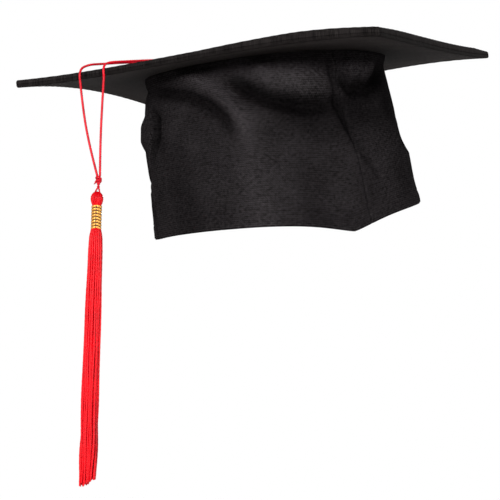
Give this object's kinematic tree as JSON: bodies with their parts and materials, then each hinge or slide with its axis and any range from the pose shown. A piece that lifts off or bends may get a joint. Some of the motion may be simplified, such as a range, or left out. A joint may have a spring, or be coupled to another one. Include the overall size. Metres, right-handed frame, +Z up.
{
  "type": "graduation cap",
  "caption": "Square academic cap: cloth-covered board on a soft fitted crown, with a covered button and a tassel that hangs from a cord loop over the board's edge.",
  "frame": {"origin": "centre of the head opening, in the plane of the crown's rim", "axes": "+Z straight up against gravity as the cap is worn, which is 8.3 degrees from the crown's own axis because the cap sits with the wearer's right side lower and the front higher; the wearer looks towards -Y and the wearer's left is +X"},
  "size_m": [0.3342, 0.3354, 0.2891],
  "materials": {
    "black_cloth": "matte fine twill",
    "crown_cloth": "matte fine twill with a faint sheen",
    "card": "grey laminated card",
    "button_metal": "pressed tinplate",
    "lining": "plain woven lining",
    "hem_tape": "woven tape",
    "elastic": "knitted elastic",
    "red_cord": "twisted rayon cord, soft shine",
    "red_thread": "rayon thread, soft shine",
    "gold_thread": "metallic wound thread"
  },
  "bodies": {
    "cap": {"board_stiffener": "card", "board_top_cover": "black_cloth", "board_bottom_cover": "black_cloth", "button_cover": "black_cloth", "button_shell": "button_metal", "button_back": "button_metal", "button_collar": "black_cloth", "button_shank": "button_metal", "button_washer": "button_metal", "crown_front_left": "crown_cloth", "crown_back_left": "crown_cloth", "crown_back_right": "crown_cloth", "crown_front_right": "crown_cloth", "crown_lining_disc": "lining", "front_hem_tape": "hem_tape", "elastic_band": "elastic", "back_casing": "hem_tape", "cord_on_board": "red_cord"},
    "cord_loop": {"loop_strand_right": "red_cord", "loop_strand_left": "red_cord", "loop_knot": "red_cord", "knot_tail": "red_cord"},
    "neck": {"neck_twist": "red_cord"},
    "hanger": {"hanger_loop": "red_cord"},
    "tassel": {"tassel_head": "red_thread", "tassel_core": "red_thread", "tassel_binding": "gold_thread", "fringe_bundle_1": "red_thread", "fringe_bundle_2": "red_thread", "fringe_bundle_3": "red_thread", "fringe_bundle_4": "red_thread", "fringe_bundle_5": "red_thread", "fringe_bundle_6": "red_thread", "fringe_bundle_7": "red_thread"}
  },
  "joints": [
    {"name": "loop_swing", "type": "hinge", "parent": "cap", "child": "cord_loop", "pos_m": [-0.14218, -0.03351, 0.0825], "axis": [-0.7027, 0.6985, -0.135], "range_deg": [-6, 100]},
    {"name": "neck_swing", "type": "hinge", "parent": "cord_loop", "child": "neck", "pos_m": [-0.1376, -0.038, 0.01705], "axis": [-0.7092, 0.705, 0], "range_deg": [-10, 60]},
    {"name": "tassel_sway", "type": "hinge", "parent": "neck", "child": "hanger", "pos_m": [-0.1376, -0.038, 0.01413], "axis": [-0.705, -0.7092, 0], "range_deg": [-60, 60]},
    {"name": "tassel_twist", "type": "hinge", "parent": "hanger", "child": "tassel", "pos_m": [-0.1376, -0.038, 0.009], "axis": [0, 0, 1], "range_deg": [-180, 180]}
  ]
}
